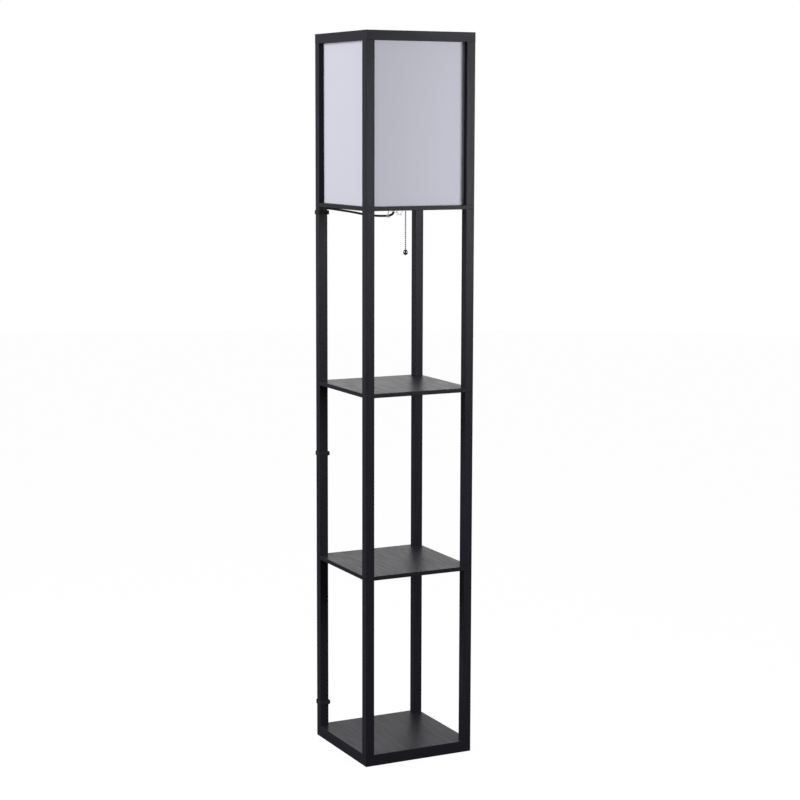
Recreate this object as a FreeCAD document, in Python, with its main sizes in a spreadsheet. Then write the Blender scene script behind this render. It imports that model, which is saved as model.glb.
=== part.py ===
import FreeCAD, Part
import math
import os
import re

import Sketcher
from FreeCAD import Placement, Rotation, Vector

# A square, open shelf tower with a lamp on top: four tiers of posts between full-width boards, four fabric
# panels that slide in grooves of the top posts, a pull-chain lampholder and its mains cord.
# The origin is at the middle of the footprint on the floor. +Z is up, -Y is the front.

os.makedirs("parts", exist_ok=True)
doc = FreeCAD.newDocument("shelf_floor_lamp")

# ---------------------------------------------------------------- driving sizes, in millimetres

SIZES = {
    "width": 260,
    "post": 20,
    "base_thick": 25,
    "shelf_thick": 9,
    "tier_tall": 390,
    "shade_tall": 348,
    "rail_tall": 21,
    "edge_cut": 0.6,
    # screwed joints between the boards and the posts
    "insert_wide": 8.5,
    "insert_deep": 15,
    "bore_deep": 18,
    "stud_wide": 6,
    "board_hole": 6.5,
    "bolt_head": 12,
    "bolt_head_tall": 5,
    "counterbore": 14,
    "counterbore_deep": 8,
    # shade panels and their grooves
    "groove_wide": 1.8,
    "groove_deep": 5,
    "groove_out": 7.4,
    "panel_thick": 1.2,
    "panel_wide": 229,
    "panel_reach": 4,
    # top frame
    "dowel_wide": 6,
    "dowel_long": 20,
    "screw_wide": 4,
    "screw_long": 45,
    "screw_head": 8,
    "screw_head_tall": 2.6,
    "screw_out": 5,
    # hollow threaded rod that holds the lampholder, and what is on it
    "rod_wide": 10,
    "rod_bore": 7,
    "rod_below": 8,
    "rod_above": 8,
    "centre_hole": 10.6,
    "washer_wide": 18,
    "washer_thick": 1.2,
    "nut_across": 14,
    "nut_tall": 4,
    "bush_flange": 10,
    "bush_flange_tall": 1.5,
    "bush_tall": 5.5,
    # lampholder
    "cup_low": 15.5,
    "cup_high": 18,
    "cup_tall": 16,
    "cup_wall": 1.5,
    "cup_floor": 3,
    "shell_tall": 42,
    "lip": 1.2,
    "lip_tall": 3,
    "core_low": 13.5,
    "core_tall": 23,
    "sleeve_bore": 13.3,
    "sleeve_wall": 0.6,
    "sleeve_tall": 26,
    "contact_wide": 4,
    "contact_tall": 2,
    # bulb
    "bulb_gap": 0.3,
    "cap_wide": 13,
    "cap_tip": 5,
    "cap_foot": 4,
    "cap_tall": 26,
    "neck_low": 13.5,
    "globe": 30,
    "globe_up": 50,
    # pull chain and its guide
    "chain_out": 29.2,
    "chain_hole": 8,
    "guide_wide": 7,
    "guide_bore": 4.6,
    "guide_mouth": 10,
    "guide_mouth_tall": 6,
    "guide_up": 6,
    "guide_tall": 24,
    "guide_bend": 6,
    "bead": 3.4,
    "bead_pitch": 4.45,
    "bead_wire": 0.9,
    "chain_up": 25.7,
    "ball_wide": 10.6,
    "ball_tall": 12.5,
    "ball_neck": 2.4,
    "swing_gap": 0.3,
    # mains cord, its clips, straps, tie and plug
    "cord": 5,
    "clip_wide": 12.4,
    "clip_deep": 7,
    "clip_thick": 1.1,
    "clip_drop_held": 21,
    "clip_drop_empty": 16.6,
    "clip_screw": 3,
    "clip_screw_long": 8,
    "clip_screw_head": 6,
    "clip_screw_head_tall": 1.6,
    "strap_tall": 9,
    "strap_thick": 2.6,
    "strap_tail": 14,
    "strap_tail_thick": 1.8,
    "strap_nip": 2.5,
    "hank_half": 40,
    "hank_fold": 15,
    "hank_waist": 3.4,
    "hank_step": 5.8,
    "hank_low": 3.4,
    "hank_side": -23,
    "hank_behind": 151.5,
    "end_out": 60,
    "end_in": 11,
    "tie_wide": 9,
    "tie_thick": 0.8,
    "tie_gap": 0.1,
    "plug_out": 86,
    "plug_in": 8,
    "plug_long": 26,
    "plug_thick": 12,
    "plug_neck": 14,
    "pin_long": 17,
    "pin_wide": 6.3,
    "pin_thick": 1.5,
    "pin_apart": 12.7,
}

sheet = doc.addObject("Spreadsheet::Sheet", "Sizes")
for row, (alias, size) in enumerate(SIZES.items(), 1):
    sheet.set(f"A{row}", alias)
    sheet.set(f"B{row}", str(size))
    sheet.setAlias(f"B{row}", alias)
doc.recompute()

# Floor of each storey, as size expressions.
LOWER_POSTS = "base_thick"
LOWER_SHELF = "base_thick + tier_tall"
MIDDLE_POSTS = "base_thick + tier_tall + shelf_thick"
MIDDLE_SHELF = "base_thick + 2 * tier_tall + shelf_thick"
UPPER_POSTS = "base_thick + 2 * tier_tall + 2 * shelf_thick"
LAMP_SHELF = "base_thick + 3 * tier_tall + 2 * shelf_thick"
SHADE_POSTS = "base_thick + 3 * tier_tall + 3 * shelf_thick"
TOP_FRAME = "base_thick + 3 * tier_tall + 3 * shelf_thick + shade_tall"
POST_OUT = "(width - post) / 2"
# corner: side in X, side in Y, quarter turns that bring a post's grooved faces inwards
CORNERS = {
    "front_left": (-1, -1, 0),
    "front_right": (1, -1, 1),
    "rear_right": (1, 1, 2),
    "rear_left": (-1, 1, 3),
}
# Repeated fasteners and their holes have this many flats; small rings on the middle line have more.
FLATS = 8
RING_FLATS = 12
ALONG_X, ALONG_Y, ALONG_Z = Vector(1, 0, 0), Vector(0, 1, 0), Vector(0, 0, 1)
finished = []


# ---------------------------------------------------------------- how a piece is drawn


def cells(words):
    """An expression of size names, with each name looked up in the sheet."""
    return re.sub(r"[a-z_]+", lambda found: "Sizes." + found.group(), words)


def value(words):
    """The number that an expression of size names gives now."""
    found = sheet.evalExpression(cells(words))
    return float(getattr(found, "Value", found))


def bind(thing, **sizes):
    for name, words in sizes.items():
        thing.setExpression(name, cells(words))


def place(thing, x="0", y="0", z="0", turn=0, axis=Vector(0, 0, 1)):
    """Puts a piece in the lamp: its own origin goes to x, y, z, after a turn in degrees about axis."""
    thing.Placement = Placement(Vector(0, 0, 0), Rotation(axis, turn))
    for side, words in (("x", x), ("y", y), ("z", z)):
        thing.setExpression("Placement.Base." + side, cells(words))
    return thing


def finish(thing, label):
    thing.Label = label
    finished.append(thing)
    return thing


def new_sketch(body, name, role="XY_Plane", up=None):
    """A sketch on an origin plane of its body, or at a height above it."""
    sketch = body.newObject("Sketcher::SketchObject", name)
    plane = next(part for part in body.Origin.OriginFeatures if part.Role == role)
    sketch.AttachmentSupport = [(plane, "")]
    sketch.MapMode = "FlatFace"
    if up is not None:
        sketch.setExpression("AttachmentOffset.Base.z", cells(up))
    return sketch


def fix_point(sketch, line, end, x, y):
    """Holds one end of a line, or a circle's centre (end 3), at x, y from the sketch's origin."""
    for kind, words, axis in (("DistanceX", x, -2), ("DistanceY", y, -1)):
        if words == "0":
            sketch.addConstraint(Sketcher.Constraint("PointOnObject", line, end, axis))
            continue
        size = value(words)
        if size > 0:
            rule = Sketcher.Constraint(kind, -1, 1, line, end, size)
        else:
            rule = Sketcher.Constraint(kind, line, end, -1, 1, -size)
        index = sketch.addConstraint(rule)
        sketch.setExpression(f"Constraints[{index}]", cells(words if size > 0 else f"0 - ({words})"))


def outline(sketch, corners):
    """A closed outline of straight lines through corners, each a pair of size expressions."""
    spots = [Vector(value(x), value(y), 0) for x, y in corners]
    first = sketch.GeometryCount
    count = len(spots)
    for i in range(count):
        sketch.addGeometry(Part.LineSegment(spots[i], spots[(i + 1) % count]), False)
    for i in range(count):
        after = first + (i + 1) % count
        sketch.addConstraint(Sketcher.Constraint("Coincident", first + i, 2, after, 1))
        fix_point(sketch, first + i, 1, *corners[i])


def rectangle(sketch, x0, x1, y0, y1):
    outline(sketch, [(x0, y0), (x1, y0), (x1, y1), (x0, y1)])


def circle(sketch, x, y, wide):
    spot = Vector(value(x), value(y), 0)
    line = sketch.addGeometry(Part.Circle(spot, Vector(0, 0, 1), value(wide) / 2), False)
    fix_point(sketch, line, 3, x, y)
    index = sketch.addConstraint(Sketcher.Constraint("Diameter", line, value(wide)))
    sketch.setExpression(f"Constraints[{index}]", cells(wide))


def eight_flats(sketch, x, y, wide):
    """The hole of a repeated fastener, drawn with eight flats."""
    corners = []
    for number in range(FLATS):
        angle = 2 * math.pi * (number + 0.5) / FLATS
        across, along = math.cos(angle) / 2, math.sin(angle) / 2
        corners.append((f"{x} + {wide} * ({across:.5f})", f"{y} + {wide} * ({along:.5f})"))
    outline(sketch, corners)


def pad(body, sketch, long):
    feature = body.newObject("PartDesign::Pad", "pad_" + sketch.Name)
    feature.Profile = sketch
    bind(feature, Length=long)
    sketch.Visibility = False
    doc.recompute()
    return feature


def pocket(body, sketch, deep, upward=False):
    """Cuts sketch into the body, downward from the sketch's plane, or upward. It must remove something."""
    before = body.Shape.Volume
    feature = body.newObject("PartDesign::Pocket", "pocket_" + sketch.Name)
    feature.Profile = sketch
    feature.Reversed = upward
    bind(feature, Length=deep)
    doc.recompute()
    if body.Shape.Volume > before - 1:
        raise ValueError(f"{feature.Name} cuts nothing")
    return feature


def four_fold(body, feature, sketch):
    """Repeats a feature at the four corners, about the sketch's normal."""
    pattern = body.newObject("PartDesign::PolarPattern", "corners_" + sketch.Name)
    pattern.Originals = [feature]
    pattern.Axis = (sketch, ["N_Axis"])
    pattern.Angle = 360
    pattern.Occurrences = 4
    body.Tip = pattern
    doc.recompute()
    return pattern


def ease_edges(body, feature, *directions):
    """Breaks the sharp edges that run along the given directions."""
    names = []
    for number, edge in enumerate(feature.Shape.Edges, 1):
        run = (edge.Vertexes[1].Point - edge.Vertexes[0].Point).normalize()
        if any(abs(run.dot(direction)) > 0.99 for direction in directions):
            names.append(f"Edge{number}")
    chamfer = body.newObject("PartDesign::Chamfer", "ease_" + feature.Name)
    chamfer.Base = (feature, names)
    bind(chamfer, Size="edge_cut")
    doc.recompute()
    return chamfer


def turned(label, corners):
    """A body of revolution about Z. corners are (radius, height) pairs of size expressions."""
    body = doc.addObject("PartDesign::Body", label)
    sketch = new_sketch(body, "profile_" + label, "XZ_Plane")
    outline(sketch, corners)
    turning = body.newObject("PartDesign::Revolution", "turned_" + label)
    turning.Profile = sketch
    turning.ReferenceAxis = (sketch, ["V_Axis"])
    turning.Angle = 360
    sketch.Visibility = False
    doc.recompute()
    return body


def rod(name, wide, tall, x="0", y="0", z="0", turn=0, axis=Vector(0, 0, 1)):
    """A plain Part cylinder, for fused and cut pieces; wide is a diameter."""
    cylinder = doc.addObject("Part::Cylinder", name)
    bind(cylinder, Radius=f"({wide}) / 2", Height=tall)
    return place(cylinder, x, y, z, turn, axis)


def flat_rod(name, wide, tall, x, y, z, flats=FLATS):
    """A stud, shank or head with flats in place of a round; wide is measured over its corners."""
    prism = doc.addObject("Part::Prism", name)
    prism.Polygon = flats
    bind(prism, Circumradius=f"({wide}) / 2", Height=tall)
    return place(prism, x, y, z, 180 / flats)


def joined(name, pieces):
    fuse = doc.addObject("Part::MultiFuse", name)
    fuse.Shapes = pieces
    doc.recompute()
    return fuse


def cut(name, base, tool):
    doc.recompute()
    before = base.Shape.Volume
    difference = doc.addObject("Part::Cut", name)
    difference.Base = base
    difference.Tool = tool
    doc.recompute()
    if difference.Shape.Volume > before - 0.1:
        raise ValueError(f"{name} cuts nothing")
    return difference


def at_corners(make_one, name):
    """The same small piece at the four corners, as separate solids of one node."""
    copies = []
    for corner, (side_x, side_y, _) in CORNERS.items():
        x = f"{side_x} * {POST_OUT}"
        y = f"{side_y} * {POST_OUT}"
        copies += make_one(f"{name}_{corner}", x, y)
    group = doc.addObject("Part::Compound", name)
    group.Links = copies
    return finish(group, name)


def flat_ring(centre, way, radius, flats=FLATS):
    """Corners of a ring of flats, square to way; the first is near +Y or, for a way along Y, near +X."""
    side = ALONG_X if abs(way.y) > 0.9 else ALONG_Y
    up = way.cross(side).normalize()
    side = up.cross(way).normalize()
    angles = [2 * math.pi * (number + 0.5) / flats for number in range(flats)]
    return [centre + side * (radius * math.cos(angle)) + up * (radius * math.sin(angle)) for angle in angles]


def closed(corners):
    return Part.makePolygon([*corners, corners[0]])


def skinned(rings, hollow=False):
    """A solid of flat faces between rings of corners; a hollow one also joins its last ring to its first."""
    faces = [] if hollow else [Part.Face(closed(end)) for end in (rings[0], rings[-1])]
    pairs = list(zip(rings, rings[1:]))
    if hollow:
        pairs.append((rings[-1], rings[0]))
    for one, two in pairs:
        for number in range(len(one)):
            beside = (number + 1) % len(one)
            faces.append(Part.Face(closed([one[number], one[beside], two[beside], two[number]])))
    shell = Part.makeShell(faces)
    shell.sewShape()
    solid = Part.makeSolid(shell)
    return solid.reversed() if solid.Volume < 0 else solid


def faceted(label, stations, foot, flats=FLATS, hollow=False):
    """A turned piece drawn with flats; stations are radii and heights over its foot, in order."""
    rings = [flat_ring(foot + Vector(0, 0, height), ALONG_Z, radius, flats) for radius, height in stations]
    piece = doc.addObject("Part::Feature", label)
    piece.Shape = skinned(rings, hollow)
    return finish(piece, label)


def faceted_ring(label, outline_words, foot_words, flats):
    """A small ring drawn with flats; its outline is (radius, height) pairs of size expressions."""
    stations = [(value(radius), value(height)) for radius, height in outline_words]
    return faceted(label, stations, Vector(0, 0, value(foot_words)), flats, hollow=True)


def plain_ring(inner, outer, tall):
    """The outline of a washer or a short tube; inner and outer are radii."""
    return [(inner, "0"), (outer, "0"), (outer, tall), (inner, tall)]


# ---------------------------------------------------------------- boards

def board(label, thick, z, hole):
    """A square board with the footprint of the lamp, its edges eased and a hole over each post."""
    body = doc.addObject("PartDesign::Body", label)
    face = new_sketch(body, "face_" + label)
    rectangle(face, "0 - width / 2", "width / 2", "0 - width / 2", "width / 2")
    slab = pad(body, face, thick)
    ease_edges(body, slab, ALONG_X, ALONG_Y, ALONG_Z)
    drill = new_sketch(body, "holes_" + label, up=thick)
    eight_flats(drill, POST_OUT, POST_OUT, hole)
    four_fold(body, pocket(body, drill, thick), drill)
    place(body, z=z)
    return finish(body, label)


base = board("base_board", "base_thick", "0", "board_hole")
sinks = new_sketch(base, "counterbores")
eight_flats(sinks, POST_OUT, POST_OUT, "counterbore")
four_fold(base, pocket(base, sinks, "counterbore_deep", upward=True), sinks)

board("lower_shelf", "shelf_thick", LOWER_SHELF, "board_hole")
board("middle_shelf", "shelf_thick", MIDDLE_SHELF, "board_hole")
lamp_shelf = board("lamp_shelf", "shelf_thick", LAMP_SHELF, "board_hole")
lamp_holes = new_sketch(lamp_shelf, "lamp_holes", up="shelf_thick")
circle(lamp_holes, "0", "0", "centre_hole")
circle(lamp_holes, "chain_out", "0", "chain_hole")
lamp_shelf.Tip = pocket(lamp_shelf, lamp_holes, "shelf_thick")

# ---------------------------------------------------------------- posts


def post(label, corner, tall, z, grooved=False):
    """A square post with a blind bore in each end; a shade post has two grooves and no upper bore."""
    side_x, side_y, turns = CORNERS[corner]
    body = doc.addObject("PartDesign::Body", label)
    section = new_sketch(body, "section_" + label)
    rectangle(section, "0 - post / 2", "post / 2", "0 - post / 2", "post / 2")
    ease_edges(body, pad(body, section, tall), ALONG_Z)
    foot = new_sketch(body, "foot_" + label)
    eight_flats(foot, "0", "0", "insert_wide")
    pocket(body, foot, "bore_deep", upward=True)
    top = new_sketch(body, "top_" + label, up=tall)
    if grooved:
        inner, outer = "post / 2 - groove_deep", "post / 2 + 1"
        near = "post / 2 - groove_out - groove_wide / 2"
        far = "post / 2 - groove_out + groove_wide / 2"
        rectangle(top, inner, outer, near, far)
        rectangle(top, near, far, inner, outer)
        pocket(body, top, tall)
    else:
        eight_flats(top, "0", "0", "insert_wide")
        pocket(body, top, "bore_deep")
    place(body, f"{side_x} * {POST_OUT}", f"{side_y} * {POST_OUT}", z, 90 * turns)
    return finish(body, label)


for corner in CORNERS:
    post("lower_post_" + corner, corner, "tier_tall", LOWER_POSTS)
    post("middle_post_" + corner, corner, "tier_tall", MIDDLE_POSTS)
    post("upper_post_" + corner, corner, "tier_tall", UPPER_POSTS)
    post("shade_post_" + corner, corner, "shade_tall", SHADE_POSTS, grooved=True)

# ---------------------------------------------------------------- inserts, studs and base bolts


def threaded_inserts(feet):
    """Makes the insert nuts of one corner; feet are the heights of their lower ends."""

    def make_one(name, x, y):
        sleeves = []
        for number, foot in enumerate(feet, 1):
            outer = flat_rod(f"{name}_outside_{number}", "insert_wide", "insert_deep", x, y, foot)
            inner = flat_rod(f"{name}_thread_{number}", "stud_wide", "insert_deep", x, y, foot)
            sleeves.append(cut(f"{name}_{number}", outer, inner))
        return sleeves

    return make_one


insert_feet = [SHADE_POSTS]
for foot in (LOWER_POSTS, MIDDLE_POSTS, UPPER_POSTS):
    insert_feet += [foot, f"{foot} + tier_tall - insert_deep"]
at_corners(threaded_inserts(insert_feet), "post_inserts")


def shelf_studs(name, x, y):
    """The double-ended studs of one corner, through the three shelves."""
    long = "shelf_thick + 2 * insert_deep"
    studs = []
    for number, foot in enumerate((LOWER_SHELF, MIDDLE_SHELF, LAMP_SHELF), 1):
        studs.append(flat_rod(f"{name}_{number}", "stud_wide", long, x, y, f"{foot} - insert_deep"))
    return studs


at_corners(shelf_studs, "shelf_studs")


def base_bolt(name, x, y):
    seat = "counterbore_deep"
    head = flat_rod(name + "_head", "bolt_head", "bolt_head_tall", x, y, f"{seat} - bolt_head_tall", 6)
    shank = flat_rod(name + "_shank", "stud_wide", f"base_thick - {seat} + insert_deep", x, y, seat)
    return [joined(name, [head, shank])]


at_corners(base_bolt, "base_bolts")

# ---------------------------------------------------------------- shade panels and top frame

PANEL_OUT = "width / 2 - post + groove_out"
for number, side in enumerate(("front", "right", "rear", "left")):
    panel = doc.addObject("PartDesign::Body", f"{side}_panel")
    edge = new_sketch(panel, f"edge_{side}_panel")
    half_thick, half_wide = "panel_thick / 2", "panel_wide / 2"
    plane_y = f"0 - ({PANEL_OUT})"
    rectangle(edge, f"0 - {half_wide}", half_wide, f"{plane_y} - {half_thick}", f"{plane_y} + {half_thick}")
    pad(panel, edge, "shade_tall + panel_reach")
    place(panel, z=SHADE_POSTS, turn=90 * number)
    finish(panel, f"{side}_panel")


def top_rail(label, half_long, half_long_groove, turns, cross_grooves):
    """A rail of the top frame, drawn as the front one and turned to its side, with a groove underneath."""
    body = doc.addObject("PartDesign::Body", label)
    plan = new_sketch(body, "plan_" + label)
    rectangle(plan, f"0 - {half_long}", half_long, "0 - width / 2", "0 - (width / 2 - post)")
    ease_edges(body, pad(body, plan, "rail_tall"), ALONG_X)
    under = new_sketch(body, "under_" + label)
    near = f"0 - ({PANEL_OUT}) - groove_wide / 2"
    far = f"0 - ({PANEL_OUT}) + groove_wide / 2"
    rectangle(under, f"0 - {half_long_groove}", half_long_groove, near, far)
    pocket(body, under, "groove_deep", upward=True)
    if cross_grooves:
        ends = new_sketch(body, "ends_" + label)
        for low, high in ((near, far), (f"0 - ({far})", f"0 - ({near})")):
            rectangle(ends, low, high, "0 - (width / 2 - post + groove_deep)", "1 - (width / 2 - post)")
        pocket(body, ends, "groove_deep", upward=True)
        screws = new_sketch(body, "screws_" + label, up="rail_tall")
        for side in ("0 - ", ""):
            eight_flats(screws, f"{side}({POST_OUT})", "0 - (width / 2 - screw_out)", "screw_wide")
        pocket(body, screws, "rail_tall")
        heads = new_sketch(body, "heads_" + label, up="rail_tall")
        for side in ("0 - ", ""):
            eight_flats(heads, f"{side}({POST_OUT})", "0 - (width / 2 - screw_out)", "screw_head")
        pocket(body, heads, "screw_head_tall")
    place(body, z=TOP_FRAME, turn=90 * turns)
    return finish(body, label)


SIDE_HALF = "(width / 2 - post)"
for number, side in enumerate(("front", "right", "rear", "left")):
    lengthwise = number % 2 == 0
    half = "width / 2" if lengthwise else SIDE_HALF
    groove_half = "(width / 2 - post + groove_deep)" if lengthwise else SIDE_HALF
    top_rail(f"top_rail_{side}", half, groove_half, number, lengthwise)


def frame_dowel(name, x, y):
    """A dowel across the seam between a side rail and the front or rear rail."""
    side = "0 - " if y.startswith("-") else ""
    seam = f"{side}({SIDE_HALF})"
    height = f"{TOP_FRAME} + rail_tall / 2 + dowel_wide / 4"
    dowel = flat_rod(name, "dowel_wide", "dowel_long", x, f"{seam} + dowel_long / 2", height)
    dowel.Placement.Rotation = Rotation(ALONG_X, 90)
    return [dowel]


def frame_screw(name, x, y):
    """A screw through the front or rear rail, down into the post."""
    side = "0 - " if y.startswith("-") else ""
    out = f"{side}(width / 2 - screw_out)"
    top = f"{TOP_FRAME} + rail_tall"
    head = flat_rod(name + "_head", "screw_head", "screw_head_tall", x, out, f"{top} - screw_head_tall")
    shank = flat_rod(name + "_shank", "screw_wide", "screw_long", x, out, f"{top} - screw_long")
    return [joined(name, [head, shank])]


at_corners(frame_dowel, "top_frame_dowels")
at_corners(frame_screw, "top_frame_screws")

# ---------------------------------------------------------------- lampholder and what holds it

rod_foot = f"{LAMP_SHELF} - rod_below"
rod_outline = plain_ring("rod_bore / 2", "rod_wide / 2", "rod_below + shelf_thick + rod_above")
faceted_ring("threaded_rod", rod_outline, rod_foot, RING_FLATS)

washer_outline = plain_ring("centre_hole / 2", "washer_wide / 2", "washer_thick")
faceted_ring("rod_washer", washer_outline, f"{LAMP_SHELF} - washer_thick", RING_FLATS)

nut_foot = f"{LAMP_SHELF} - washer_thick - nut_tall"
ACROSS_CORNERS = 1.1547
nut = flat_rod("nut_blank", f"nut_across * {ACROSS_CORNERS}", "nut_tall", "0", "0", nut_foot, 6)
nut_bore = flat_rod("nut_bore", "rod_wide", "nut_tall", "0", "0", nut_foot, RING_FLATS)
finish(cut("lock_nut", nut, nut_bore), "lock_nut")

bush_outline = [
    ("cord / 2", "0"),
    ("bush_flange / 2", "0"),
    ("bush_flange / 2", "bush_flange_tall"),
    ("rod_bore / 2", "bush_flange_tall"),
    ("rod_bore / 2", "bush_tall"),
    ("cord / 2", "bush_tall"),
]
faceted_ring("cord_bush", bush_outline, f"{rod_foot} - bush_flange_tall", RING_FLATS)

cup = turned(
    "lampholder_cup",
    [
        ("rod_wide / 2", "0"),
        ("cup_low", "0"),
        ("cup_high", "cup_high - cup_low"),
        ("cup_high", "cup_tall"),
        ("cup_high - cup_wall", "cup_tall"),
        ("cup_high - cup_wall", "cup_floor"),
        ("rod_wide / 2", "cup_floor"),
    ],
)
finish(place(cup, z=SHADE_POSTS), "lampholder_cup")

core = turned(
    "lampholder_core",
    [
        ("rod_wide / 2", "cup_floor"),
        ("core_low", "cup_floor"),
        ("core_low", "cup_tall"),
        ("cup_high - cup_wall", "cup_tall"),
        ("cup_high - cup_wall", "cup_floor + core_tall"),
        ("0", "cup_floor + core_tall"),
        ("0", "rod_above"),
        ("rod_wide / 2", "rod_above"),
    ],
)
finish(place(core, z=SHADE_POSTS), "lampholder_core")

shell_blank = turned(
    "lampholder_shell_blank",
    [
        ("cup_high - cup_wall", "0"),
        ("cup_high", "0"),
        ("cup_high", "shell_tall - lip_tall"),
        ("cup_high + lip", "shell_tall - lip_tall"),
        ("cup_high + lip", "shell_tall"),
        ("cup_high - cup_wall", "shell_tall"),
    ],
)
place(shell_blank, z=f"{SHADE_POSTS} + cup_tall")
guide_axis = f"{SHADE_POSTS} + guide_up + guide_tall + guide_bend"
guide_port = rod("guide_port", "guide_wide", "cup_high", "cup_high / 2", "0", guide_axis, 90, ALONG_Y)
finish(cut("lampholder_shell", shell_blank, guide_port), "lampholder_shell")

BULB_FLATS = 24
core_top = f"{SHADE_POSTS} + cup_floor + core_tall"
sleeve_outline = plain_ring("sleeve_bore", "sleeve_bore + sleeve_wall", "sleeve_tall")
faceted_ring("contact_sleeve", sleeve_outline, core_top, BULB_FLATS)

contact = flat_rod("contact_disc", "2 * contact_wide", "contact_tall", "0", "0", core_top)
finish(contact, "centre_contact")

# The guide turns the chain from the switch in the shell to the hole in the shelf: a short tube out of the
# shell, a quarter bend, a tube down and a bell mouth, with one straight bore for the hanging chain.

BEND_STEPS = 3


def guide_ring(x, z, degrees, radius, stretch=1):
    """A ring across the guide; degrees is its way to the outside of the bend, where it may be stretched."""
    out = Vector(math.cos(math.radians(degrees)), 0, math.sin(math.radians(degrees)))
    centre = Vector(x, 0, z)
    ring = flat_ring(centre, ALONG_Y.cross(out), radius)
    return [corner + out * ((corner - centre).dot(out) * (stretch - 1)) for corner in ring]


guide_x, guide_z = value("chain_out"), value(guide_axis)
bend, guide_radius = value("guide_bend"), value("guide_wide / 2")
mouth_foot = value(f"{SHADE_POSTS} + guide_up")
guide_rings = [guide_ring(value("cup_high") - 2, guide_z, 90, guide_radius)]
mitre = 1 / math.cos(math.radians(45 / BEND_STEPS))
for number in range(BEND_STEPS):
    degrees = 90 - 90 * (number + 0.5) / BEND_STEPS
    across, up = math.cos(math.radians(degrees)), math.sin(math.radians(degrees))
    x, z = guide_x - bend + bend * mitre * across, guide_z - bend + bend * mitre * up
    guide_rings.append(guide_ring(x, z, degrees, guide_radius, mitre))
guide_rings.append(guide_ring(guide_x, mouth_foot + value("guide_mouth_tall"), 0, guide_radius))
guide_rings.append(guide_ring(guide_x, mouth_foot, 0, value("guide_mouth / 2")))
bore_ring = flat_ring(Vector(guide_x, 0, mouth_foot), ALONG_Z, value("guide_bore / 2"))
bore = Part.Face(closed(bore_ring)).extrude(Vector(0, 0, value("guide_tall - 2")))
chain_guide = doc.addObject("Part::Feature", "chain_guide")
chain_guide.Shape = skinned(guide_rings).cut(bore)
finish(chain_guide, "chain_guide")

# ---------------------------------------------------------------- bulb

bulb_foot = f"{core_top} + contact_tall + bulb_gap"
cap_words = [("cap_tip", "0"), ("cap_wide", "cap_foot + 1"), ("cap_wide", "cap_tall")]
cap_outline = [(value(radius), value(height)) for radius, height in cap_words]
faceted("bulb_cap", cap_outline, Vector(0, 0, value(bulb_foot)), BULB_FLATS)

# The glass is a straight neck that runs into a ball, which a few rings give.
RINGS = 8
globe, globe_middle = value("globe"), value("cap_tall + globe_up")
globe_outline = [(value("neck_low"), value("cap_tall"))]
for number in range(RINGS):
    angle = math.radians(-25 + 104 * number / (RINGS - 1))
    globe_outline.append((globe * math.cos(angle), globe_middle + globe * math.sin(angle)))
faceted("bulb_globe", globe_outline, Vector(0, 0, value(bulb_foot)), BULB_FLATS)

# ---------------------------------------------------------------- pull chain


def chain_outline(beads, wire_above, wire_below):
    """Radius and height along a ball chain, from its top down, with its first bead centre at height 0."""
    radius, thin, step = value("bead / 2"), value("bead_wire / 2"), value("bead_pitch")
    flat, pole = 0.38 * radius, 0.96 * radius
    stations = [(thin, wire_above)]
    for number in range(beads):
        centre = -number * step
        stations += [(thin, centre + pole), (radius, centre + flat)]
        stations += [(radius, centre - flat), (thin, centre - pole)]
    stations.append((thin, -(beads - 1) * step - wire_below))
    return stations


def ball_chain(label, beads, top, wire_above, wire_below):
    return faceted(label, chain_outline(beads, wire_above, wire_below), Vector(value("chain_out"), 0, top))


# Nine beads hang in the guide and the shelf, ten below the first bending point, then ten with the end ball.
PULLED_BEADS, UPPER_BEADS, LOWER_BEADS = 9, 10, 10
BEAD_WIRE_IN = 0.02
pitch = value("bead_pitch")
half_wire = (pitch - value("bead")) / 2
under_bead = value("bead / 2 + swing_gap") + BEAD_WIRE_IN
chain_top = value(f"{SHADE_POSTS} + chain_up")
first_pivot = chain_top - (PULLED_BEADS - 1) * pitch
second_pivot = first_pivot - UPPER_BEADS * pitch
wire_end = value("bead / 2") + BEAD_WIRE_IN
ball_chain("pull_chain_top", PULLED_BEADS, chain_top, wire_end, wire_end)
ball_chain("pull_chain_upper", UPPER_BEADS, first_pivot - pitch, pitch - under_bead, wire_end)
lower_end = value("bead / 2") + half_wire
ball_chain("pull_chain_lower", LOWER_BEADS, second_pivot - pitch, pitch - under_bead, lower_end)
ball_top = second_pivot - LOWER_BEADS * pitch - lower_end
print(f"chain bends at z {first_pivot:.2f} and {second_pivot:.2f}, its end ball starts at {ball_top:.2f}")

# The end ball is an oval with a short neck round the last wire.
ball_half, ball_radius = value("ball_tall / 2"), value("ball_wide / 2")
ball_outline = [(value("ball_neck / 2"), 0)]
for degrees in (68, 45, 20, -5, -30, -55, -78):
    angle = math.radians(degrees)
    ball_outline.append((ball_radius * math.cos(angle), ball_half * (math.sin(angle) - 1)))
faceted("chain_end_ball", ball_outline, Vector(value("chain_out"), 0, ball_top), RING_FLATS)

# ---------------------------------------------------------------- cord

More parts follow.
